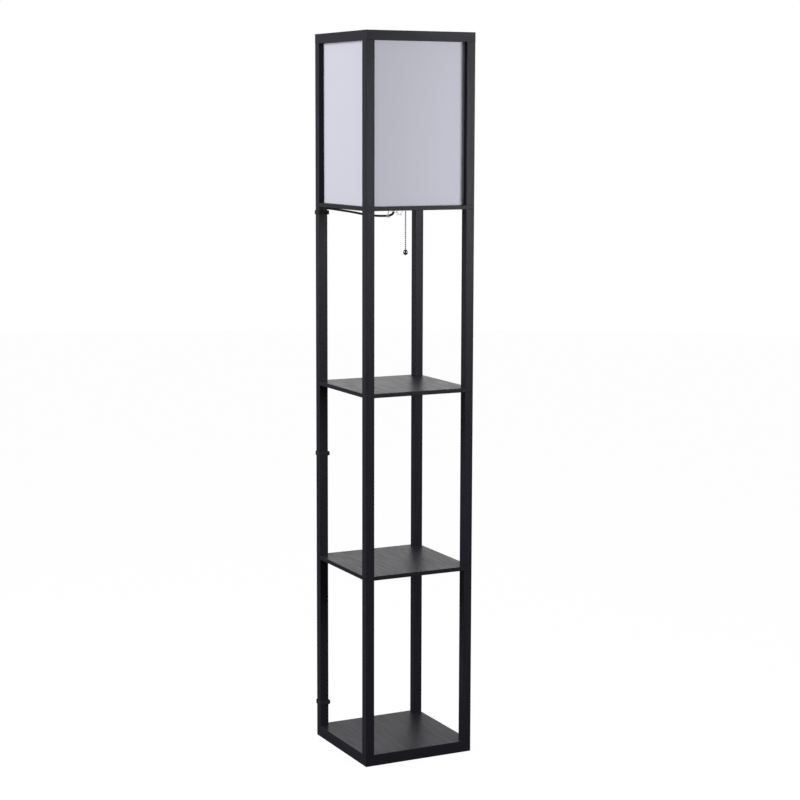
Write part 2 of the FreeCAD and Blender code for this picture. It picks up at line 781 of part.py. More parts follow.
# The route of the free cord, from the middle of the lamp shelf to the hank behind the base: down out of
# the bush, through the clear clip, along under the shelf, round the rear left post and down its back.
CORD_ROUTE = [
    (0, 0, 1210),
    (0, 0, 1201),
    (-6.5, 6.5, 1195.9),
    (-16.8, 15.6, 1195),
    (-30.5, 30, 1194.9),
    (-51.8, 51.2, 1198.2),
    (-65, 64.5, 1201.6),
    (-80, 79.6, 1204.6),
    (-97, 99, 1207.6),
    (-105.2, 114, 1209),
    (-106.8, 126, 1209.2),
    (-109, 134.6, 1206.9),
    (-114.8, 136.9, 1201),
    (-118.1, 135.2, 1189.2),
    (-120.2, 133.6, 1172),
    (-119.6, 133.1, 1142),
    (-118.9, 133.6, 1092),
    (-120.3, 134.2, 1022),
    (-121.0, 133.5, 951),
    (-119.9, 133.0, 879),
    (-118.7, 133.6, 806),
    (-119.4, 134.1, 735),
    (-120.4, 133.3, 668),
    (-121.3, 132.9, 598),
    (-119.5, 134.2, 526),
    (-118.6, 134.3, 455),
    (-119.5, 133.5, 384),
    (-121.0, 133.1, 313),
    (-121.2, 133.7, 243),
    (-119.9, 134.0, 174),
    (-119.2, 133.2, 112),
    (-120.2, 133.4, 64),
    (-119.6, 134.0, 34),
    (-111.5, 134.6, 11.5),
    (-93, 134.8, 2.9),
    (-77, 135.9, 2.9),
]
ARC_SHARE = 0.45
CORD_FLATS = 6


def rounded_path(points):
    """Straight runs joined by tangent arcs, each as large as its runs allow, and the arcs' radii."""
    edges, radii, start = [], [], points[0]
    for before, corner, after in zip(points, points[1:], points[2:]):
        one, two = (before - corner), (after - corner)
        reach = ARC_SHARE * min(one.Length, two.Length)
        one.normalize()
        two.normalize()
        turn = math.pi - one.getAngle(two)
        radius = reach / math.tan(turn / 2)
        first, last = corner + one * reach, corner + two * reach
        inward = (one + two).normalize()
        middle = corner + inward * (radius / math.cos(turn / 2) - radius)
        edges += [Part.LineSegment(start, first).toShape(), Part.Arc(first, middle, last).toShape()]
        radii.append(radius)
        start = last
    edges.append(Part.LineSegment(start, points[-1]).toShape())
    return Part.Wire(edges), radii


def cord_tube(path, radius):
    """The cord swept along a path, with flats in place of its round."""
    first = path.Edges[0]
    start = first.valueAt(first.FirstParameter)
    ring = flat_ring(start, first.tangentAt(first.FirstParameter), radius, CORD_FLATS)
    return path.makePipeShell([closed(ring)], True, False)


def report_tube(name, path, shape, radius):
    section = CORD_FLATS / 2 * math.sin(2 * math.pi / CORD_FLATS) * radius**2
    expected = path.Length * section
    share = shape.Volume / expected
    print(f"{name}: length {path.Length:.0f} mm, volume {share:.4f} of section times length")


cord_radius = value("cord / 2")
hank_middle = Vector(value("hank_side"), value("hank_behind"), 0)
hank_start = hank_middle + Vector(-value("hank_half"), -value("hank_fold"), value("hank_low"))
route = [Vector(*point) for point in CORD_ROUTE] + [hank_start]
cord_path, cord_radii = rounded_path(route)
print("cord arc radii:", " ".join(f"{radius:.0f}" for radius in cord_radii))
cord = doc.addObject("Part::Feature", "cord")
cord.Shape = cord_tube(cord_path, cord_radius)
report_tube("cord", cord_path, cord.Shape, cord_radius)
finish(cord, "cord")


# ---------------------------------------------------------------- hank, tie and plug


def arc_from(start, direction, end):
    """The arc that leaves start along direction and reaches end, or a line where they are in line."""
    chord = end - start
    away = direction.getAngle(chord)
    if away < 1e-6:
        return Part.LineSegment(start, end).toShape()
    side = direction - chord * (direction.dot(chord) / chord.dot(chord))
    rise = chord.Length / 2 * math.tan(away / 2)
    return Part.Arc(start, (start + end) / 2 + side.normalize() * rise, end).toShape()


def biarc(start, start_way, end, end_way):
    """Two arcs that meet smoothly, from start along start_way to end along end_way."""
    gap, ways = end - start, start_way + end_way
    spread = 2 * (1 - start_way.dot(end_way))
    if spread < 1e-9:
        reach = gap.dot(gap) / (4 * gap.dot(end_way))
    else:
        along = gap.dot(ways)
        reach = (-along + math.sqrt(along**2 + spread * gap.dot(gap))) / spread
    middle = (start + end + (start_way - end_way) * reach) / 2
    return [arc_from(start, start_way, middle), arc_from(end, end_way * -1, middle)]


def hank_stations():
    """Places and ways along the hank: flat loops drawn in at the waist, each climbing along its far run."""
    half, fold, waist, step = (value("hank_" + word) for word in ("half", "fold", "waist", "step"))
    low = value("hank_low")
    right, left = Vector(1, 0, 0), Vector(-1, 0, 0)
    back, front = Vector(0, 1, 0), Vector(0, -1, 0)
    stations = []
    for layer in range(2):
        z = low + layer * step
        stations += [
            (Vector(-half, -fold, z), right),
            (Vector(0, -waist, z), right),
            (Vector(half, -fold, z), right),
        ]
        if layer == 0:
            stations += [
                (Vector(half + fold, 0, z), back),
                (Vector(half, fold, z), left),
                (Vector(0, waist, z + step / 2), left),
                (Vector(-half, fold, z + step), left),
                (Vector(-half - fold, 0, z + step), front),
            ]
    return [(hank_middle + place_at, way) for place_at, way in stations]


# The end of the cord passes over the lower fold before it comes down to the plug.
over_fold = Vector(value("end_out"), -value("end_in"), value("hank_low + hank_step"))
plug_back = hank_middle + Vector(value("plug_out"), -value("plug_in"), value("plug_thick / 2"))
stations = hank_stations()
stations.append((hank_middle + over_fold, ALONG_X))
stations.append((plug_back - Vector(value("cord"), 0, 0), ALONG_X))
hank_edges = []
for (start, start_way), (end, end_way) in zip(stations, stations[1:]):
    hank_edges += biarc(start, start_way, end, end_way)
hank_edges.append(Part.LineSegment(stations[-1][0], plug_back).toShape())
hank_path = Part.Wire(Part.__sortEdges__(hank_edges))
hank = doc.addObject("Part::Feature", "cord_hank")
hank.Shape = cord_tube(hank_path, cord_radius)
report_tube("cord_hank", hank_path, hank.Shape, cord_radius)
finish(hank, "cord_hank")


def least_gap(path, wide):
    """The smallest space between the tube and itself, measured on points along its line."""
    spacing = 1.5
    points = path.discretize(Distance=spacing)
    apart = int(3 * wide / spacing)
    least = min(
        (one - two).Length
        for number, one in enumerate(points)
        for two in points[number + apart :]
    )
    return least - wide


print(f"cord_hank: least gap to itself {least_gap(hank_path, value('cord')):.2f} mm")

# The corner style of makeOffset2D that keeps corners sharp.
SHARP_CORNERS = 2


def band(inside, thick, wide):
    """A soft band of even thickness, closed round the corners of its inside."""
    inner_wire = closed(inside)
    outer_wire = inner_wire.makeOffset2D(thick, SHARP_CORNERS)
    face = Part.Face([outer_wire, inner_wire])
    face.validate()
    return face.extrude(wide)


# The tie is a soft band closed round the waist of the hank.
tie_high = value("hank_low + hank_step + cord / 2 + tie_gap")
tie_low = value("hank_low - cord / 2 - tie_gap")
tie_half = value("hank_waist + cord / 2 + tie_gap")
tie_inside = [Vector(0, -tie_half, tie_low), Vector(0, tie_half, tie_low), Vector(0, tie_half, tie_high)]
tie_inside.append(Vector(0, -tie_half, tie_high))
tie = doc.addObject("Part::Feature", "hank_tie")
tie.Shape = band(tie_inside, value("tie_thick"), Vector(value("tie_wide"), 0, 0))
tie.Placement = Placement(hank_middle - Vector(value("tie_wide") / 2, 0, 0), Rotation())
finish(tie, "hank_tie")

# Two-pin plug, lying flat: a waisted moulded body and a tapering neck over the cord's end. Its sections are
# distance along, width and thickness, each with its corners cut off.
plug_body = doc.addObject("Part::Feature", "plug")
PLUG_SECTIONS = ((0, 7, 7), (14, 9.5, 8.5), (17, 14.5, 11), (26, 15, 11), (40, 18, 12))
NICK_SHARE = 0.28
rings = []
for along, wide, thick in PLUG_SECTIONS:
    nick = NICK_SHARE * min(wide, thick)
    half_wide, half_thick = wide / 2, thick / 2
    corners = []
    for side_x, side_y in ((1, 1), (-1, 1), (-1, -1), (1, -1)):
        pair = [
            Vector(side_x * half_wide, side_y * (half_thick - nick), along),
            Vector(side_x * (half_wide - nick), side_y * half_thick, along),
        ]
        corners += pair if side_x == side_y else pair[::-1]
    rings.append(corners)
plug_body.Shape = skinned(rings)
plug_body.Placement = Placement(plug_back, Rotation(ALONG_Y, 90) * Rotation(ALONG_Z, 90))
finish(plug_body, "plug")

plug_face = plug_back + Vector(value("plug_neck + plug_long"), 0, 0)
pins = []
for side in (-1, 1):
    pin = doc.addObject("Part::Box", f"plug_pin_{'near' if side < 0 else 'far'}")
    bind(pin, Length="pin_long", Width="pin_thick", Height="pin_wide")
    offset = Vector(0, side * value("pin_apart / 2") - value("pin_thick / 2"), -value("pin_wide / 2"))
    pin.Placement = Placement(plug_face + offset, Rotation())
    pins.append(pin)
plug_pins = doc.addObject("Part::Compound", "plug_pins")
plug_pins.Links = pins
finish(plug_pins, "plug_pins")

# ---------------------------------------------------------------- clips and straps

CLIPS = {
    "cord_clip_held": (-9, 9.2, 45, "clip_drop_held"),
    "cord_clip_empty": (17.1, 5.8, 0, "clip_drop_empty"),
}
screws = []
for label, (x, y, turn, drop_words) in CLIPS.items():
    loops = []
    for word, inset in (("outside", "0"), ("inside", "clip_thick")):
        across = f"clip_wide - 2 * {inset}"
        deep = "clip_deep" if word == "outside" else "clip_deep + 2"
        straight = f"{drop_words} - clip_wide / 2 - {inset}"
        bar = doc.addObject("Part::Box", f"{label}_{word}_bar")
        bind(bar, Length=across, Width=deep, Height=straight)
        place(bar, f"0 - ({across}) / 2", f"0 - ({deep}) / 2", f"clip_wide / 2 - {drop_words}")
        bow_foot = f"clip_wide / 2 - {drop_words}"
        bow = rod(f"{label}_{word}_bow", across, deep, "0", f"({deep}) / 2", bow_foot, 90, ALONG_X)
        loops.append(joined(f"{label}_{word}", [bar, bow]))
    clip = cut(label, *loops)
    clip.Placement = Placement(Vector(x, y, value(LAMP_SHELF)), Rotation(ALONG_Z, turn))
    finish(clip, label)
    seat = f"{LAMP_SHELF} - clip_thick"
    middle = (f"0 + {x}", f"0 + {y}")
    thread = flat_rod(f"{label}_thread", "clip_screw", "clip_screw_long", *middle, seat)
    head_foot = f"{seat} - clip_screw_head_tall"
    head = flat_rod(f"{label}_head", "clip_screw_head", "clip_screw_head_tall", *middle, head_foot)
    screws.append(joined(f"{label}_screw", [head, thread]))
clip_screws = doc.addObject("Part::Compound", "clip_screws")
clip_screws.Links = screws
finish(clip_screws, "clip_screws")

# Each strap is one soft band round the rear left post and the cord on its back, with its tail on the inner
# side. Its sizes are its middle height, how far it stands off the post's inner side and how far behind the
# post's middle it goes.
STRAPS = {"upper": (1200.5, 1.6, 20), "middle": (658, -1, 17.8), "lower": (79.5, -1, 17.8)}
half_post = value("post / 2")
nip = value("strap_nip")
straps = []
for name, (height, stand_off, behind) in STRAPS.items():
    side = half_post + stand_off
    loop = [(-half_post, -half_post), (half_post, -half_post), (half_post, half_post)]
    loop += [(side, half_post + nip), (side, behind - nip), (side - nip, behind)]
    loop += [(-nip, behind), (-2 * nip, behind - nip), (-half_post, half_post)]
    inside = [Vector(x, y, 0) for x, y in loop]
    round_post = band(inside, value("strap_thick"), Vector(0, 0, value("strap_tall")))
    tail_size = (value("strap_tail_thick"), value("strap_tail"), value("strap_tall"))
    tail = Part.makeBox(*tail_size, Vector(half_post + value("strap_thick"), -half_post, 0))
    strap = doc.addObject("Part::Feature", f"{name}_strap")
    strap.Shape = round_post.fuse(tail).removeSplitter()
    centre = Vector(-value(POST_OUT), value(POST_OUT), height - value("strap_tall") / 2)
    strap.Placement = Placement(centre, Rotation())
    straps.append(strap)
cord_straps = doc.addObject("Part::Compound", "cord_straps")
cord_straps.Links = straps
finish(cord_straps, "cord_straps")

# ---------------------------------------------------------------- checks and export

doc.recompute()
for thing in doc.Objects:
    if {"Invalid", "Error"} & set(thing.State):
        raise ValueError(f"{thing.Name} failed: {thing.State}")
for piece in finished:
    if piece.Shape.isNull() or not piece.Shape.isValid():
        raise ValueError(f"{piece.Label} has no valid shape")
    if not piece.Shape.Solids:
        raise ValueError(f"{piece.Label} has no solid")
for piece in finished:
    piece.Shape.exportStep(f"parts/{piece.Label}.step")
print(f"{len(finished)} pieces")
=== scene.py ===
import math

import bpy
import numpy as np
from mathutils import Matrix, Vector


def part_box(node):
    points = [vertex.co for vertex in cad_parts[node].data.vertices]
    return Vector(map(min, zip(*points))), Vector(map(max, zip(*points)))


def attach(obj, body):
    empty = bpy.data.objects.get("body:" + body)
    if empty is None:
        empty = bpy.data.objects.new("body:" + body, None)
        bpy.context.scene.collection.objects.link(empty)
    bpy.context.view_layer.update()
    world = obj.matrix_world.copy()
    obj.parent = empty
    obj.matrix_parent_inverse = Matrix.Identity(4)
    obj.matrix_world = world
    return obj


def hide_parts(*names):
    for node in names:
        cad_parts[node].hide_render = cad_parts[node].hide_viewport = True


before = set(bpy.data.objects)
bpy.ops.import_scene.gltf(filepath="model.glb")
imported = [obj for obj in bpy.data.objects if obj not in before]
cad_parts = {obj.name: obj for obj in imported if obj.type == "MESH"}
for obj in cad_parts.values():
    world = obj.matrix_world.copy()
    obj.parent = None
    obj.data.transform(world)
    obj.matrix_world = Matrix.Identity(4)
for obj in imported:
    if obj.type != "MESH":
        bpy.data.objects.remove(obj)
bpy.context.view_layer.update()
mm = 0.001

# ---- camera ----
# The photograph looks a little down on the lamp from the left of its front. These are the
# angles, the distance, the lens and its small shift that put the lamp's corners where the
# photograph has them. The height is that of the point aimed at.
AZIMUTH, ELEVATION, ROLL = (math.radians(angle) for angle in (-26.660, 7.485, 0.142))
DISTANCE, AIM_HEIGHT, AIM_RIGHT = 4.37666, 0.83188, 0.01442

lens = bpy.data.cameras.new("camera")
lens.lens, lens.sensor_width = 88.691, 36
lens.shift_y = -0.0250
camera = bpy.data.objects.new("camera", lens)
bpy.context.scene.collection.objects.link(camera)
turn = Matrix.Rotation(AZIMUTH, 4, "Z") @ Matrix.Rotation(math.pi / 2 - ELEVATION, 4, "X")
turn = turn @ Matrix.Rotation(ROLL, 4, "Z")
aimed = Matrix.Translation((0, 0, AIM_HEIGHT)) @ turn
camera.matrix_world = aimed @ Matrix.Translation((AIM_RIGHT, 0, DISTANCE))
bpy.context.scene.camera = camera

# ---- mains cord ----
# Round two-core flex in black PVC, 5 mm thick. It leaves the bush under the lamp shelf, goes
# through one of the clips, along under the shelf and down the back of the rear left post. The
# rest is folded into a hank on the floor, and ends in the plug.
CORD_WIDE, CORD_LONG = 5 * mm, 1.83
CORD_ROUTE = [
    (0, 0, 1.21),
    (0, 0, 1.201),
    (-0.0065, 0.0065, 1.1959),
    (-0.0168, 0.0156, 1.195),
    (-0.0305, 0.03, 1.1949),
    (-0.0518, 0.0512, 1.1982),
    (-0.065, 0.0645, 1.2016),
    (-0.08, 0.0796, 1.2046),
    (-0.097, 0.099, 1.2076),
    (-0.1052, 0.114, 1.209),
    (-0.1068, 0.126, 1.2092),
    (-0.109, 0.1346, 1.2069),
    (-0.1148, 0.1369, 1.201),
    (-0.1181, 0.1352, 1.1892),
    (-0.1202, 0.1336, 1.172),
    (-0.1196, 0.1331, 1.142),
    (-0.1189, 0.1336, 1.092),
    (-0.1203, 0.1342, 1.022),
    (-0.121, 0.1335, 0.951),
    (-0.1199, 0.133, 0.879),
    (-0.1187, 0.1336, 0.806),
    (-0.1194, 0.1341, 0.735),
    (-0.1204, 0.1333, 0.668),
    (-0.1213, 0.1329, 0.598),
    (-0.1195, 0.1342, 0.526),
    (-0.1186, 0.1343, 0.455),
    (-0.1195, 0.1335, 0.384),
    (-0.121, 0.1331, 0.313),
    (-0.1212, 0.1337, 0.243),
    (-0.1199, 0.134, 0.174),
    (-0.1192, 0.1332, 0.112),
    (-0.1202, 0.1334, 0.064),
    (-0.1196, 0.134, 0.034),
    (-0.1115, 0.1346, 0.0115),
    (-0.093, 0.1348, 0.0029),
    (-0.077, 0.1359, 0.0029),
]
HANK_MIDDLE = np.array([-0.023, 0.1515, 0])
HANK_HALF, HANK_FOLD, HANK_WAIST = 40 * mm, 15 * mm, 2.6 * mm
HANK_LOW, HANK_STEP = 3.4 * mm, 5.8 * mm
HANK_HIGH = HANK_LOW + HANK_STEP
RUN_POINTS, FOLD_ANGLES = 7, (-55, -18, 18, 55)
FOLD_REACH = 1.08  # the curve runs a little inside its points
HANK_TO_PLUG = [(50, -15.2, 9.2), (60, -12, 9), (70, -9, 7.2), (79, -8, 6), (86, -8, 6)]
PLUG_BACK = HANK_MIDDLE + np.array(HANK_TO_PLUG[-1]) * mm


def hank_run(way, side, foot, head):
    """Points from fold to fold: straight along X, drawn in to the waist at the middle by a
    smooth step."""
    along = np.linspace(-way, way, RUN_POINTS)
    out = np.abs(along)
    spread = HANK_WAIST + (HANK_FOLD - HANK_WAIST) * out**2 * (3 - 2 * out)
    height = np.linspace(foot, head, RUN_POINTS)
    return np.column_stack([HANK_HALF * along, side * spread, height])


def hank_fold(way, height):
    """Points round a half circle at one end of the hank, counter-clockwise; way is 1 at +X and
    -1 at -X."""
    angle = np.radians(FOLD_ANGLES)
    reach = FOLD_REACH * HANK_FOLD
    across, along = way * reach * np.cos(angle), way * reach * np.sin(angle)
    return np.column_stack([way * HANK_HALF + across, along, np.full(len(angle), height)])


hank = np.vstack(
    [
        hank_run(1, -1, HANK_LOW, HANK_LOW),
        hank_fold(1, HANK_LOW),
        hank_run(-1, 1, HANK_LOW, HANK_HIGH),
        hank_fold(-1, HANK_HIGH),
        hank_run(1, -1, HANK_HIGH, HANK_HIGH),
        np.array(HANK_TO_PLUG) * mm,
    ]
)
route = np.vstack([np.array(CORD_ROUTE), HANK_MIDDLE + hank])
line = bpy.data.curves.new("mains_cord", "CURVE")
line.dimensions = "3D"
spline = line.splines.new("NURBS")
spline.points.add(len(route) - 1)
spline.points.foreach_set("co", np.column_stack([route, np.ones(len(route))]).ravel())
spline.order_u = 3
spline.use_endpoint_u = True
line.resolution_u = 6
line.bevel_depth = CORD_WIDE / 2
line.bevel_resolution = 4
line.use_fill_caps = True
mains_cord = bpy.data.objects.new("mains_cord", line)
bpy.context.scene.collection.objects.link(mains_cord)


def linear(colour):
    """An sRGB hex colour as linear red, green, blue and alpha, by the sRGB curve."""
    parts = np.array([int(colour[i : i + 2], 16) for i in (1, 3, 5)]) / 255
    parts = np.where(parts <= 0.04045, parts / 12.92, ((parts + 0.055) / 1.055) ** 2.4)
    return (*parts, 1)


def add_node(material, kind, inputs, **settings):
    """Adds a node; inputs gives its sockets numbers, colours or the outputs that feed them."""
    node = material.node_tree.nodes.new("ShaderNode" + kind)
    for name, setting in settings.items():
        setattr(node, name, setting)
    for name, given in inputs.items():
        if isinstance(given, bpy.types.NodeSocket):
            material.node_tree.links.new(given, node.inputs[name])
        else:
            node.inputs[name].default_value = given
    return node


def new_finish(name, colour, **sockets):
    """A material of one Principled shader with these values; returns it and its shader."""
    material = bpy.data.materials.new(name)
    material.use_nodes = True
    shader = material.node_tree.nodes["Principled BSDF"]
    shader.inputs["Base Color"].default_value = linear(colour)
    for socket, given in sockets.items():
        shader.inputs[socket.replace("_", " ")].default_value = given
    return material, shader


def noise_at(material, size, stretch, coordinates, detail):
    """The value of a noise of that feature size in metres, along stretched coordinates."""
    place = add_node(material, "TexCoord", {}).outputs[coordinates]
    place = add_node(material, "Mapping", {"Vector": place, "Scale": stretch}).outputs["Vector"]
    settings = {"Vector": place, "Scale": 1 / size, "Detail": detail}
    return add_node(material, "TexNoise", settings).outputs["Fac"]


def mottle(
    material, shader, size, dark, light, stretch=(1, 1, 1), coordinates="Object", detail=3.0
):
    """Colours the shader from dark to light with a noise, and returns the noise's value."""
    factor = noise_at(material, size, stretch, coordinates, detail)
    # A Mix node's sockets 6 and 7 and its output 2 are the ones for colours.
    colours = {0: factor, 6: linear(dark), 7: linear(light)}
    mixed = add_node(material, "Mix", colours, data_type="RGBA")
    material.node_tree.links.new(mixed.outputs[2], shader.inputs["Base Color"])
    return factor


def raise_by(material, shader, height, tall, strength=1.0):
    """Bumps the shader by a height, scaled to tall in metres."""
    settings = {"Height": height, "Distance": tall, "Strength": strength}
    bump = add_node(material, "Bump", settings)
    material.node_tree.links.new(bump.outputs["Normal"], shader.inputs["Normal"])


# Extruded PVC is smooth with a soft sheen; the faint unevenness is what the extruder leaves.
cord_pvc, shader = new_finish("extruded_black_pvc", "#0d0d0e", Roughness=0.42)
unevenness = mottle(cord_pvc, shader, 14 * mm, "#0b0b0c", "#111113")
raise_by(cord_pvc, shader, unevenness, 0.2 * mm)
line.materials.append(cord_pvc)
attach(mains_cord, "root")
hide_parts("cord", "cord_hank")

# ---- plug ----
# Two-pin plug moulded on to the cord in soft black PVC: a ribbed strain relief, a waisted grip
# and a flat face. The blades are plated brass with a hole each.
PLUG_LONG, PLUG_ROWS, PLUG_AROUND, PLUG_ROUNDING = 40 * mm, 90, 40, 0.55
# Distance from the plug's back, its width and its thickness there, in mm.
PLUG_PROFILE = [
    (0, 6.6, 6.6),
    (14, 9.2, 8.2),
    (17, 14.2, 10.6),
    (22, 14.6, 10.8),
    (28, 14.9, 10.9),
    (36, 17.2, 11.8),
    (39.2, 17.8, 11.9),
    (40, 17.0, 11.2),
]
# The rings of the neck and the ribs of the grip: where they lie and their pitch, as shares of
# the plug's length.
NECK_END, GRIP_START, GRIP_END, RIB_PITCH = 0.34, 0.5, 0.84, 0.068
RING_TALL, RIB_TALL = 0.35 * mm, 0.3 * mm


def surface(name, points, closed=True, capped=True, uv=None):
    """A smooth mesh through a grid of points, rows by columns. Closed joins the last column to
    the first, and capped closes the first and the last row on their middles. Rows that travel
    up with columns that turn counter-clockwise seen from above face outwards."""
    rows, columns = points.shape[:2]
    number = np.arange(rows * columns).reshape(rows, columns)
    if closed:
        number = np.hstack([number, number[:, :1]])
    faces = np.stack([number[:-1, :-1], number[:-1, 1:], number[1:, 1:], number[1:, :-1]], -1)
    faces = faces.reshape(-1, 4).tolist()
    corners = points.reshape(-1, 3)
    if capped:
        start, end = rows * columns, rows * columns + 1
        corners = np.vstack([corners, points[0].mean(axis=0), points[-1].mean(axis=0)])
        ring, last = number[0], number[-1]
        faces += np.column_stack([np.full(len(ring) - 1, start), ring[1:], ring[:-1]]).tolist()
        faces += np.column_stack([np.full(len(last) - 1, end), last[:-1], last[1:]]).tolist()
    mesh = bpy.data.meshes.new(name)
    mesh.from_pydata(corners.tolist(), [], faces)
    mesh.polygons.foreach_set("use_smooth", [True] * len(mesh.polygons))
    if uv is not None:
        layer = mesh.uv_layers.new(name="UVMap")
        of_loop = np.zeros(len(mesh.loops), dtype=int)
        mesh.loops.foreach_get("vertex_index", of_loop)
        layer.data.foreach_set("uv", uv.reshape(-1, 2)[of_loop].ravel())
    mesh.update()
    piece = bpy.data.objects.new(name, mesh)
    bpy.context.scene.collection.objects.link(piece)
    return piece


def dress(piece, material, slot, *stands_for, body="root"):
    """Gives a new piece its material and its body, and hides the CAD nodes it stands for. The slot
    is not used.
    """
    piece.data.materials.append(material)
    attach(piece, body)
    if stands_for:
        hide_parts(*stands_for)
    return piece


def crisp(piece, angle=35):
    """Keeps corners sharper than this angle, in degrees, crisp on a smooth mesh."""
    piece.data.set_sharp_from_angle(angle=math.radians(angle))
    return piece


stops, widths, thicknesses = np.array(PLUG_PROFILE).T
along = np.linspace(0, 1, PLUG_ROWS)
width = np.interp(along, stops / stops[-1], widths * mm)
thick = np.interp(along, stops / stops[-1], thicknesses * mm)
neck_rings = np.where(along < NECK_END, RING_TALL * np.cos(2 * math.pi * along / RIB_PITCH), 0)
on_grip = (along > GRIP_START) & (along < GRIP_END)
rib_phase = 2 * math.pi * (along - GRIP_START) / RIB_PITCH
grip_ribs = np.where(on_grip, RIB_TALL * np.cos(rib_phase), 0)
angle = np.linspace(0, 2 * math.pi, PLUG_AROUND, endpoint=False)
side = np.sign(np.cos(angle)) * np.abs(np.cos(angle)) ** PLUG_ROUNDING
rise = np.sign(np.sin(angle)) * np.abs(np.sin(angle)) ** PLUG_ROUNDING
plug_points = np.stack(
    [
        PLUG_BACK[0] + np.repeat(PLUG_LONG * along[:, None], PLUG_AROUND, axis=1),
        PLUG_BACK[1] + np.outer(width / 2 + neck_rings + grip_ribs - RIB_TALL, side),
        PLUG_BACK[2] + np.outer(thick / 2 + neck_rings - RING_TALL, rise),
    ],
    axis=-1,
)
plug_pvc, shader = new_finish("moulded_black_pvc", "#101012", Roughness=0.5)
moulded = mottle(plug_pvc, shader, 0.6 * mm, "#0e0e10", "#141416")
raise_by(plug_pvc, shader, moulded, 0.06 * mm)
plug = dress(surface("mains_plug", plug_points), plug_pvc, "cord_pvc", "plug")

BLADE_LONG, BLADE_WIDE, BLADE_THICK = 17 * mm, 6.3 * mm, 1.5 * mm
BLADE_APART, BLADE_HOLE, BLADE_AROUND = 12.7 * mm, 3 * mm, 48
plated_brass, shader = new_finish(
    "nickel_plated_brass", "#c9c4b4", Metallic=1.0, Roughness=0.28
)
mottle(plated_brass, shader, 2 * mm, "#bdb8a8", "#d2cdbd")
around = np.linspace(0, 2 * math.pi, BLADE_AROUND, endpoint=False)
circle = np.column_stack([np.cos(around), np.sin(around)])
hole = circle * BLADE_HOLE / 2
# A superellipse of power 6 gives the blade's rounded corners; its half towards the plug is
# then drawn out to the blade's length.
edge_scale = 1 / (np.abs(circle[:, 0]) ** 6 + np.abs(circle[:, 1]) ** 6) ** (1 / 6)
outline = circle * edge_scale[:, None] * BLADE_WIDE / 2
root_side = outline[:, 0] < 0
outline[root_side, 0] *= (BLADE_LONG - BLADE_WIDE / 2) / (BLADE_WIDE / 2)
rings = [(hole, 0.5), (outline, 0.5), (outline, -0.5), (hole, -0.5), (hole, 0.5)]
hole_at = PLUG_BACK[0] + PLUG_LONG + BLADE_LONG - BLADE_WIDE / 2
for number, apart in enumerate((-0.5, 0.5)):
    blade_middle = PLUG_BACK[1] + apart * BLADE_APART
    blade_points = []
    for ring, level in rings:
        y = np.full(BLADE_AROUND, blade_middle - BLADE_THICK * level)
        blade_points.append(np.column_stack([hole_at + ring[:, 0], y, PLUG_BACK[2] + ring[:, 1]]))
    blade = surface(f"plug_blade_{number + 1}", np.stack(blade_points), capped=False)
    crisp(dress(blade, plated_brass, "brass_contacts", "plug_pins"))

# ---- hank tie ----
# A soft black hook-and-loop band, closed round the waist of the hank where the three strands
# of cord are drawn together.
TIE_WIDE, TIE_THICK, TIE_CLEAR, TIE_CORNER = (size * mm for size in (9, 0.9, 1.6, 2.5))
BAND_AROUND, BAND_POWER = 20, 0.35


def band(name, path, wide, thick, flat=(0, 0, 1), closed=True):
    """A flat band carried along a path of points in one plane; flat is that plane's normal and
    the way its width lies. Its section is a rounded rectangle: a circle raised to a power."""
    flat = np.array(flat, float)
    ahead = np.roll(path, -1, axis=0) - np.roll(path, 1, axis=0)
    if not closed:
        ahead[0], ahead[-1] = path[1] - path[0], path[-1] - path[-2]
    ahead /= np.linalg.norm(ahead, axis=1)[:, None]
    out = np.cross(ahead, flat)
    turns = np.linspace(0, 2 * math.pi, BAND_AROUND, endpoint=False)
    over = np.sign(np.cos(turns)) * np.abs(np.cos(turns)) ** BAND_POWER * thick / 2
    beside = np.sign(np.sin(turns)) * np.abs(np.sin(turns)) ** BAND_POWER * wide / 2
    points = path[:, None] + out[:, None] * over[None, :, None] + flat * beside[None, :, None]
    if closed:
        points = np.concatenate([points, points[:1]])
    return surface(name, points, capped=not closed)


def rounded_loop(corners, radius, steps=7):
    """Points round a flat loop of corners, counter-clockwise, each corner turned on a curve of
    about that radius. A corner on the straight line between its neighbours needs no curve and
    is left out."""
    corners = np.array(corners, float)
    points = []
    neighbours = zip(np.roll(corners, 1, axis=0), corners, np.roll(corners, -1, axis=0))
    for before, corner, after in neighbours:
        back, ahead = before - corner, after - corner
        back_long, ahead_long = np.linalg.norm(back), np.linalg.norm(ahead)
        back, ahead = back / back_long, ahead / ahead_long
        half = math.acos(np.clip(back @ ahead, -1, 1)) / 2
        if half > 0.49 * math.pi:
            continue
        reach = min(radius / math.tan(half), 0.45 * back_long, 0.45 * ahead_long)
        part = np.linspace(0, 1, steps)[:, None]
        start, end = corner + back * reach, corner + ahead * reach
        points.append((1 - part) ** 2 * start + 2 * part * (1 - part) * corner + part**2 * end)
    return np.vstack(points)


tie_half = HANK_WAIST + TIE_CLEAR + CORD_WIDE / 2
tie_low, tie_high = HANK_LOW - CORD_WIDE / 2, HANK_HIGH + CORD_WIDE / 2
tie_corners = [(-tie_half, tie_low), (tie_half, tie_low), (tie_half, tie_high)]
tie_corners.append((-tie_half, tie_high))
tie_loop = rounded_loop(tie_corners, TIE_CORNER)
tie_path = HANK_MIDDLE + np.column_stack([np.zeros(len(tie_loop)), tie_loop])
webbing, shader = new_finish("black_hook_and_loop_band", "#0f0f11", Roughness=0.92)
nap = mottle(webbing, shader, 0.5 * mm, "#0b0b0d", "#161619")
raise_by(webbing, shader, nap, 0.35 * mm)
tie = band("hank_tie_band", tie_path, TIE_WIDE, TIE_THICK, (1, 0, 0))
dress(tie, webbing, "tie_plastic", "hank_tie")

